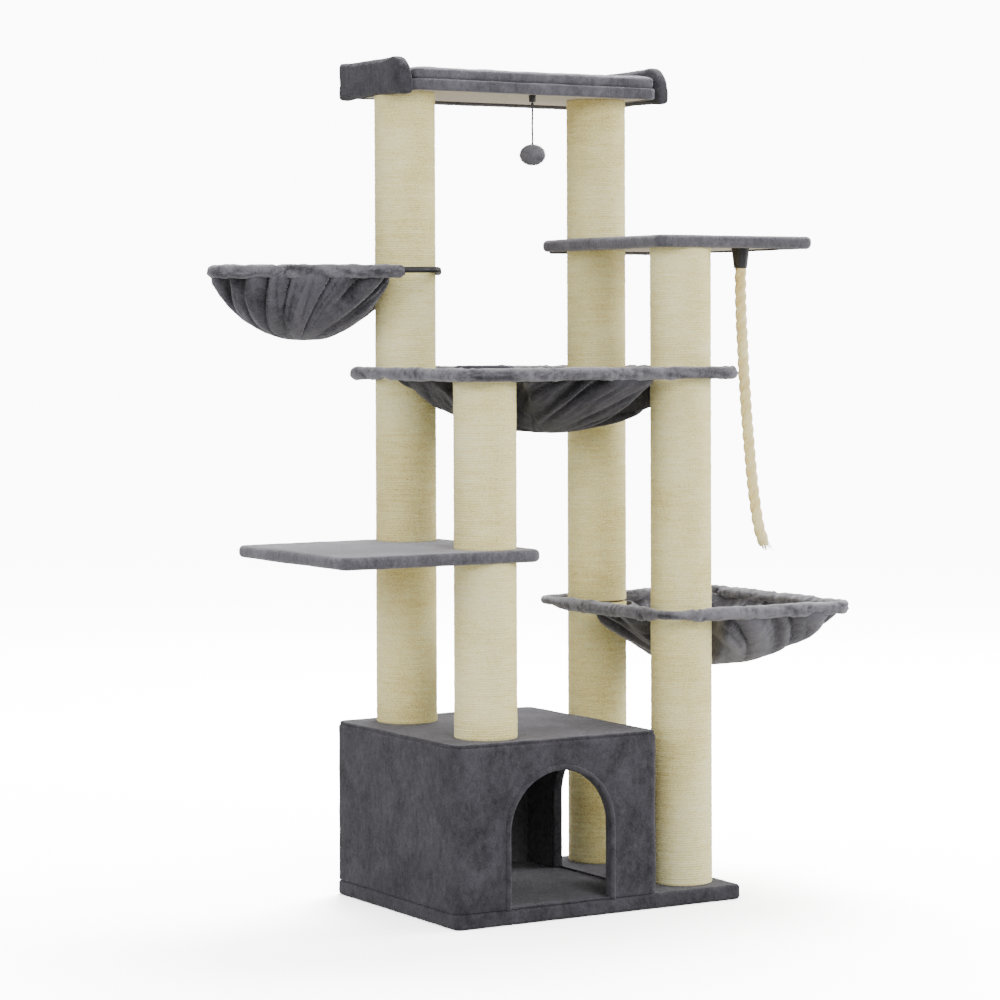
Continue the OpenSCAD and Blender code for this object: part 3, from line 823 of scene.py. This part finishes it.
def make_back_hem(side, start):
    """The plush's thick raw edge, folded under a platform and stapled along its back."""
    rect, z0, _ = rect_of(f"{side}_platform_cover")
    ends = np.linspace(rect[0] + start, rect[1] - 24 * MM, 90)
    line = np.column_stack([ends, np.full(90, rect[3] - 9 * MM), np.full(90, z0 - 2 * MM)])
    line[:, 2] += 0.8 * MM * hills(line, 30 * MM, 6.0)
    rings = tube(line, 5.0 * MM, 12)
    for ring, centre in zip(rings, line):
        ring[:, 1] = centre[1] + (ring[:, 1] - centre[1]) * 1.6
    points, faces = join_tubes([rings])
    hem = add_piece(f"{side}_platform_back_hem", points, faces, DECK_PLUSH_PAINTED_LIGHT, "plush", "tree")
    soften(hem, (9 * MM, 0.6 * MM))


# ---- Stuffed pieces ----

SWELL_FRAMES = 20
# How much higher and how much narrower a bolster is than its CAD solid
BOLSTER_DROP = 1.17
BOLSTER_DEPTH = 0.945


def stuffed(name, node, voxel, rounds, shrink, cap, body, finish, reshape):
    """The CAD shape filled like a cushion: a cloth skin under pressure, applied to the mesh."""
    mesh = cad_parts[node].data.copy()
    move_to(mesh, reshape(points_of(mesh), *(np.array(corner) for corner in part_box(node))))
    piece = bpy.data.objects.new(name, mesh)
    bpy.context.collection.objects.link(piece)
    remesh = piece.modifiers.new("even", "REMESH")
    remesh.mode = "VOXEL"
    remesh.voxel_size = voxel
    rounded = piece.modifiers.new("rounded", "SMOOTH")
    rounded.iterations = rounds
    graph = bpy.context.evaluated_depsgraph_get()
    even = bpy.data.meshes.new_from_object(piece.evaluated_get(graph))
    piece.modifiers.clear()
    piece.data = even
    rest = points_of(even) - normals_of(even) * shrink
    move_to(even, rest)
    swell(piece, cap, rest)
    even.materials.clear()
    even.materials.append(finish)
    even.shade_smooth()
    fine = piece.modifiers.new("smooth", "SUBSURF")
    fine.levels = fine.render_levels = 1
    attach(piece, body)
    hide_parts(node)
    return piece


def swell(piece, cap, rest):
    """Blows the skin up from inside; no point moves further than cap."""
    cloth = piece.modifiers.new("cloth", "CLOTH")
    cloth.settings.quality = 4
    cloth.settings.mass = 0.3
    cloth.settings.use_pressure = True
    cloth.settings.uniform_pressure_force = 4
    cloth.settings.effector_weights.gravity = 0
    cloth.collision_settings.use_collision = False
    cloth.point_cache.frame_start = 1
    cloth.point_cache.frame_end = SWELL_FRAMES
    scene = bpy.context.scene
    for step in range(1, SWELL_FRAMES + 1):
        scene.frame_set(step)
    graph = bpy.context.evaluated_depsgraph_get()
    blown = points_of(piece.evaluated_get(graph).data)
    scene.frame_set(1)
    piece.modifiers.clear()
    move = blown - rest
    length = np.maximum(np.linalg.norm(move, axis=1), 1e-9)
    move *= (np.minimum(length, cap) / length)[:, None]
    move_to(piece.data, rest + move)


def drawn_down(points, low, high):
    """A bolster drawn lower over the platform's end, and taken in a little at its back."""
    points = points.copy()
    points[:, 2] = high[2] - (high[2] - points[:, 2]) * BOLSTER_DROP
    points[:, 1] = low[1] + (points[:, 1] - low[1]) * BOLSTER_DEPTH
    return points


def squared_up(points, low, high):
    """A mat whose round corners are filled out towards square ones."""
    points, corner = points.copy(), 30 * MM
    for side_x in (-1, 1):
        for side_y in (-1, 1):
            x0 = (high[0] - corner) if side_x > 0 else (low[0] + corner)
            y0 = (high[1] - corner) if side_y > 0 else (low[1] + corner)
            dx, dy = (points[:, 0] - x0) * side_x, (points[:, 1] - y0) * side_y
            inside = (dx > 0) & (dy > 0)
            reach = np.hypot(dx, dy) + 1e-9
            grow = np.where(inside, (reach / np.maximum(np.maximum(dx, dy), 1e-9)) ** 0.65, 1)
            points[:, 0] = np.where(inside, x0 + side_x * dx * grow, points[:, 0])
            points[:, 1] = np.where(inside, y0 + side_y * dy * grow, points[:, 1])
    return points


def make_bolsters():
    for side in ("left", "right"):
        bolster = stuffed(f"{side}_side_bolster", f"{side}_bolster", 4.5 * MM, 14, 1 * MM, 3.5 * MM,
                          "tree", PLUSH, drawn_down)
        soften(bolster, (40 * MM, 0.8 * MM), (11 * MM, 0.5 * MM))


def make_mat():
    mat = stuffed("sleeping_mat", "top_mat", 6 * MM, 5, 1 * MM, 4.5 * MM, "mat", DECK_PLUSH_PAINTED_LIGHT, squared_up)
    soften(mat, (70 * MM, 1.8 * MM), (24 * MM, 0.8 * MM), (9 * MM, 0.4 * MM))
    low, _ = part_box("top_mat")
    points = points_of(mat.data)
    points[:, 2] = np.maximum(points[:, 2], low[2] + 0.2 * MM)
    move_to(mat.data, points)


# ---- Slings ----

ROD_CORNER = 30 * MM
ROD_R = 6 * MM
# A sling's cloth stays this far from a post's middle
KEEP_OFF = 76 * MM
# Round places that the cloth also stays out of: the middle sling's front right corner, at its post,
# and the low sling's back left corner
MID_OPEN_CORNER = ((0.25, -0.26), 0.12)
LOW_OPEN_CORNER = ((0.157, 0.16), 0.106)
# The high sling's rod, cloth and sleeve are measured from its post's middle, and turned with its arm
HIGH_TURN = 150
HIGH_ROD = (-0.067, 0.378, -0.150, 0.150)
HIGH_CLOTH = (0.026, 0.382, -0.154, 0.154)
HIGH_SLEEVE_FROM = -0.004


def rod_rect(node):
    """The rectangle of a frame's rod along its middle line, and the rod's height."""
    low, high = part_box(node)
    return (low[0] + ROD_R, high[0] - ROD_R, low[1] + ROD_R, high[1] - ROD_R), (low[2] + high[2]) / 2


def fade(value):
    """A soft step from 0 to 1."""
    value = np.clip(value, 0, 1)
    return value * value * (3 - 2 * value)


def bunched(run, turn, seed):
    """The folds round one ring of a sleeve: sharp creases, with finer folds over them."""
    warp = run / 0.040 + 2.2 * noise_at(run / 0.09, seed, 5.0)
    folds = []
    for a in turn:
        out, up = math.cos(a), math.sin(a)
        crease = 0.7 - 2.2 * abs(noise_at(warp + 1.3 * up, out * 0.7, up * 0.7 + seed))
        finer = noise_at(warp * 2.6 + 0.8 * out, out * 0.9, up * 0.9 - seed)
        folds.append(0.8 * crease + 0.5 * finer)
    return np.array(folds)


def gathered_sleeve(name, rect, slim_at, sizes, seed, keep, place):
    """Cloth bunched round the rod: plump and puckered, and drawn thin near the given places."""
    slim, full, pucker = sizes
    rim, out = rim_of(rect, ROD_CORNER, 3.2 * MM)
    if keep is not None:
        chosen = np.nonzero(keep(rim))[0]
        jump = np.nonzero(np.diff(chosen) > 1)[0]
        if len(jump):
            chosen = np.concatenate([chosen[jump[0] + 1:], chosen[:jump[0] + 1]])
        rim, out = rim[chosen], out[chosen]
    near = np.min([np.linalg.norm(rim - spot, axis=1) - size for spot, size in slim_at], axis=0)
    plump = fade(near / (45 * MM))
    cols = 18
    turn = np.arange(cols) * 2 * math.pi / cols
    run = np.concatenate([[0], np.cumsum(np.linalg.norm(np.diff(rim, axis=0), axis=1))])
    rings, ridges = [], []
    for k in range(len(rim)):
        fold = bunched(run[k], turn, seed)
        # How high each point stands on the folds, for the finish's painted shade in the creases and painted
        # light on the ridges
        ridges.append(0.5 + 0.55 * fold)
        swing = noise_at(run[k] / 0.06, seed, 2.0)
        base = (slim + (full - slim) * plump[k]) * (1 + 0.10 * swing * plump[k])
        reach = base + pucker * fold * (0.15 + 0.85 * plump[k])
        if keep is not None:
            reach = reach * min(1, 0.62 + 0.38 * fade(min(run[k], run[-1] - run[k]) / (9 * MM)))
        reach = np.maximum(reach, ROD_R + 0.8 * MM)
        side = reach * np.cos(turn)
        rise = reach * np.sin(turn) * (1 + 0.12 * plump[k]) - 2.2 * MM * plump[k]
        rings.append(np.column_stack([rim[k, 0] + out[k, 0] * side, rim[k, 1] + out[k, 1] * side, rise]))
    points = np.concatenate(rings)
    faces = net(len(rings), cols, closed_cols=keep is None)
    sleeve = add_piece(f"{name}_rim", place(points), faces, RIM_PLUSH_PAINTED_LIGHT, "plush", "tree", [f"{name}_sleeve"])
    mark_ridges(sleeve, np.concatenate(ridges))
    soften(sleeve, (16 * MM, 0.6 * MM))
    return sleeve


def bowl_reach(rect, centre, posts, corner_cut, rays):
    """How far the cloth runs from its centre in each direction, short of the corners and posts."""
    angle = np.arange(rays) * 2 * math.pi / rays
    way = np.column_stack([np.cos(angle), np.sin(angle)])
    ahead_x = np.where(way[:, 0] > 0, rect[1] - centre[0], rect[0] - centre[0])
    ahead_y = np.where(way[:, 1] > 0, rect[3] - centre[1], rect[2] - centre[1])
    with np.errstate(divide="ignore", invalid="ignore"):
        across = ahead_x / way[:, 0]
        deep = ahead_y / way[:, 1]
    across[np.abs(way[:, 0]) < 1e-6] = 9
    deep[np.abs(way[:, 1]) < 1e-6] = 9
    cut = (np.abs(ahead_x) + np.abs(ahead_y) - corner_cut) / np.abs(way).sum(axis=1)
    reach = np.minimum(np.minimum(across, deep), cut)
    for post, size in posts:
        gap = np.array(post) - centre
        ahead = way @ gap
        off = gap @ gap - ahead ** 2
        meets = (ahead > 0) & (off < size * size)
        reach = np.where(meets, np.minimum(reach, ahead - np.sqrt(np.maximum(size * size - off, 0))), reach)
    for _ in range(3):
        reach = np.minimum(reach, (np.roll(reach, 1) + reach + np.roll(reach, -1)) / 3)
    return way, reach


def round_noise(angles, wide, rise):
    """Smooth noise for each direction from a bowl's middle, with more hills where wide is more."""
    return np.array([noise_at(math.cos(a) * wide, math.sin(a) * wide, rise) for a in angles])


def sling_cloth(name, rect, centre, depth, drop, power, posts, folds, seed, place, finish):
    """A hanging bowl of plush: it falls from the rod in deep folds that fade towards the bottom."""
    wide, twist, deepest = folds
    rays, rings = 300, 44
    way, reach = bowl_reach(rect, np.array(centre), posts, 40 * MM, rays)
    angle = np.arange(rays) * 2 * math.pi / rays
    grid, ridges = [], []
    for k in range(1, rings + 1):
        s = k / rings
        flat = np.array(centre) + way * (reach * s)[:, None]
        z = -drop - (depth - drop) * (1 - s ** power)
        swirl = angle + twist * (1 - s)
        deep = round_noise(swirl, wide, s * 0.7 + seed)
        fine = round_noise(swirl, wide * 2.7, s * 1.2 - seed)
        sharp = 0.4 + 0.6 * fade(1.2 + 2.5 * np.roll(fine, 40))
        fold = 0.30 + 1.1 * np.abs(deep) - 1.1 * sharp * np.exp(-(deep / 0.15) ** 2)
        tuck = 0.25 - np.exp(-(fine / 0.14) ** 2) + fine
        hold = 0.35 + 0.65 * fade((1 - s) / 0.05)
        upper = fade((s - 0.45) / 0.4)
        pull = hold * (deepest * s ** 1.8 * fold + 5.5 * MM * tuck * upper)
        # How high each point stands on the folds, for the finish's painted shade in the creases and painted
        # light on the ridges
        ridges.append(0.5 + 0.5 * s * fold + 0.30 * tuck * upper)
        bowl_slope = (depth - drop) * power * s ** (power - 1) / reach
        lean = bowl_slope / np.sqrt(1 + bowl_slope ** 2)
        out = flat + way * (pull * lean)[:, None] * 0.9
        height = z - pull * 0.8 * (1 - 0.5 * lean)
        grid.append(np.column_stack([out, height]))
    points = np.concatenate(grid + [np.array([[centre[0], centre[1], -depth]])])
    faces = net(rings, rays)
    hub = len(points) - 1
    faces += [[hub, k, (k + 1) % rays] for k in range(rays)]
    bowl = add_piece(f"{name}_bowl", place(points), [face[::-1] for face in faces], finish, "plush", "tree",
                     [f"{name}_cloth"])
    mark_ridges(bowl, np.concatenate(ridges + [[0.5]]))
    soften(bowl, (60 * MM, 2.5 * MM), (18 * MM, 0.8 * MM))
    thicken(bowl, 3.0 * MM, 0)
    return bowl


def make_sling(kind, rect, cloth_rect, place, centre, depth, posts, slim_at, look, keep=None):
    """A sling's sleeve and cloth; both are made about a rod at height 0, and place puts them up."""
    sleeve = gathered_sleeve(f"{kind}_sling", rect, slim_at, look["sleeve"], look["seed"], keep, place)
    bowl = sling_cloth(f"{kind}_sling", cloth_rect, centre, depth, look["drop"], look["power"], posts,
                       look["folds"], look["seed"], place, look["finish"])


def post_middle(post):
    rect, _, _ = rect_of(f"post_{post}_tubes")
    return middle_of(rect)


def lifted(height):
    return lambda points: points + np.array([0, 0, height])


def turned(angle, base):
    spin = np.array(Matrix.Rotation(math.radians(angle), 3, "Z"))
    return lambda points: points @ spin.T + base


def make_slings():
    posts = {name: post_middle(name) for name in "abcd"}
    rect, height = rod_rect("mid_sling_frame")
    make_sling("mid", rect, grown(rect, 3 * MM), lifted(height), (0.034, 0.006), 0.121,
               [(post, KEEP_OFF) for post in posts.values()] + [MID_OPEN_CORNER],
               [(posts["a"] + (-0.08, -0.06), -0.01), (posts["c"] + (0.082, 0.084), 0.05)],
               {"sleeve": (8.8 * MM, 11.2 * MM, 2.2 * MM), "seed": 5, "drop": 6 * MM, "power": 2.2,
                "folds": (3.0, 1.0, 14 * MM), "finish": PAINTED_SHADE_SLING_PLUSH, "flat": (0.70, 0.56), "area": 0.29})
    rect, height = rod_rect("low_sling_frame")
    make_sling("low", rect, grown(rect, 3 * MM), lifted(height), (0.418, 0.006), 0.127,
               [(posts["c"], KEEP_OFF), (posts["d"], KEEP_OFF), LOW_OPEN_CORNER],
               [(posts["c"] + (-0.089, 0.085), 0.05), (posts["d"] + (-0.089, -0.086), 0.03)],
               {"sleeve": (8.6 * MM, 11.4 * MM, 2.8 * MM), "seed": 9, "drop": 6 * MM, "power": 2.3,
                "folds": (2.6, -1.1, 11 * MM), "finish": SLING_PLUSH, "flat": (0.62, 0.55), "area": 0.26})
    _, height = rod_rect("high_sling_frame")
    make_sling("high", HIGH_ROD, HIGH_CLOTH, turned(HIGH_TURN, np.array([*posts["a"], height])),
               (0.205, 0.0), 0.137, [((0.0, 0.0), KEEP_OFF)],
               [((-0.067, -0.150), 0.02), ((-0.067, 0.150), 0.02)],
               {"sleeve": (9.4 * MM, 11.6 * MM, 2.4 * MM), "seed": 13, "drop": 5 * MM, "power": 2.35,
                "folds": (3.4, 0.7, 15 * MM), "finish": SLING_PLUSH, "flat": (0.50, 0.42), "area": 0.17},
               keep=lambda rim: rim[:, 0] > HIGH_SLEEVE_FROM)


# ---- Floor and light ----

WHITE = (1, 1, 1, 1)
FLOOR_GREY = (0.35, 0.35, 0.35, 1)
FLOOR_HALF = 60
PAPER_WHITE = 4.4
WORLD_WHITE = 11.0
WORLD_GLOW = 1.0
# The paper brightens into the white behind it between these distances, in metres
HAZE_FROM = 0.6
HAZE_TO = 5.0
LIGHT_SIZE = 2.4
# Each light's name, place, watts and the height on the tree that it aims at
LIGHTS = [
    ("overhead", (1.5, 1.7, 4.6), 560, 1.0),
    ("left", (-5.6, -0.4, 2.8), 110, 0.9),
    ("front", (-0.8, -6.0, 3.4), 210, 1.1),
    ("right", (5.0, -1.2, 2.0), 210, 0.9),
]


def paper_material():
    """Grey paper that the camera sees as white, with no line where it meets the white behind it."""
    paper = bpy.data.materials.new("white_paper")
    paper.use_nodes = True
    nodes = Nodes(paper.node_tree)
    nodes.tree.nodes.clear()
    lit = nodes.add("ShaderNodeBsdfDiffuse", {}, {"Color": FLOOR_GREY})
    bright = nodes.add("ShaderNodeBsdfDiffuse", {}, {"Color": (PAPER_WHITE, PAPER_WHITE, PAPER_WHITE, 1)})
    place = nodes.add("ShaderNodeTexCoord", out="Object")
    distance = nodes.add("ShaderNodeVectorMath", {"operation": "LENGTH"}, {0: place}, out="Value")
    span = {"From Min": HAZE_FROM, "From Max": HAZE_TO, "To Max": WORLD_WHITE - PAPER_WHITE * WORLD_GLOW}
    haze = nodes.add("ShaderNodeMapRange", {}, {"Value": distance, **span})
    glow = nodes.add("ShaderNodeEmission", {}, {"Color": haze})
    seen = nodes.add("ShaderNodeAddShader", {}, {0: bright, 1: glow})
    nodes.add("ShaderNodeOutputMaterial", {}, {"Surface": nodes.split(lit, seen)})
    return paper


def make_floor():
    data = bpy.data.meshes.new("floor")
    corners = [(-FLOOR_HALF, -FLOOR_HALF, 0), (FLOOR_HALF, -FLOOR_HALF, 0), (FLOOR_HALF, FLOOR_HALF, 0),
               (-FLOOR_HALF, FLOOR_HALF, 0)]
    data.from_pydata(corners, [], [(0, 1, 2, 3)])
    floor = bpy.data.objects.new("floor", data)
    bpy.context.collection.objects.link(floor)
    data.materials.append(paper_material())


def make_light():
    world = bpy.data.worlds.new("studio")
    bpy.context.scene.world = world
    world.use_nodes = True
    nodes = Nodes(world.node_tree)
    nodes.tree.nodes.clear()
    lit = nodes.add("ShaderNodeBackground", {}, {"Color": WHITE, "Strength": WORLD_GLOW})
    seen = nodes.add("ShaderNodeBackground", {}, {"Color": WHITE, "Strength": WORLD_WHITE})
    nodes.add("ShaderNodeOutputWorld", {}, {"Surface": nodes.split(lit, seen)})
    for name, place, watts, aim in LIGHTS:
        data = bpy.data.lights.new(name, "AREA")
        data.shape = "SQUARE"
        data.size = LIGHT_SIZE
        data.energy = watts
        light = bpy.data.objects.new(name, data)
        light.location = place
        ahead = Vector((0, 0, aim)) - Vector(place)
        light.rotation_euler = ahead.to_track_quat("-Z", "Y").to_euler()
        bpy.context.collection.objects.link(light)


make_rope()
make_toy()
dress_nodes()
make_posts()
make_base()
make_house_walls()
make_roof()
make_door_trim("door_lip", "house_door_trim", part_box("house_wall_cover")[0][1], 1)
make_door_trim("side_door_lip", "house_side_trim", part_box("house_wall_cover")[1][0], -1)
make_platforms()
make_bolsters()
make_mat()
make_slings()
make_floor()
make_light()
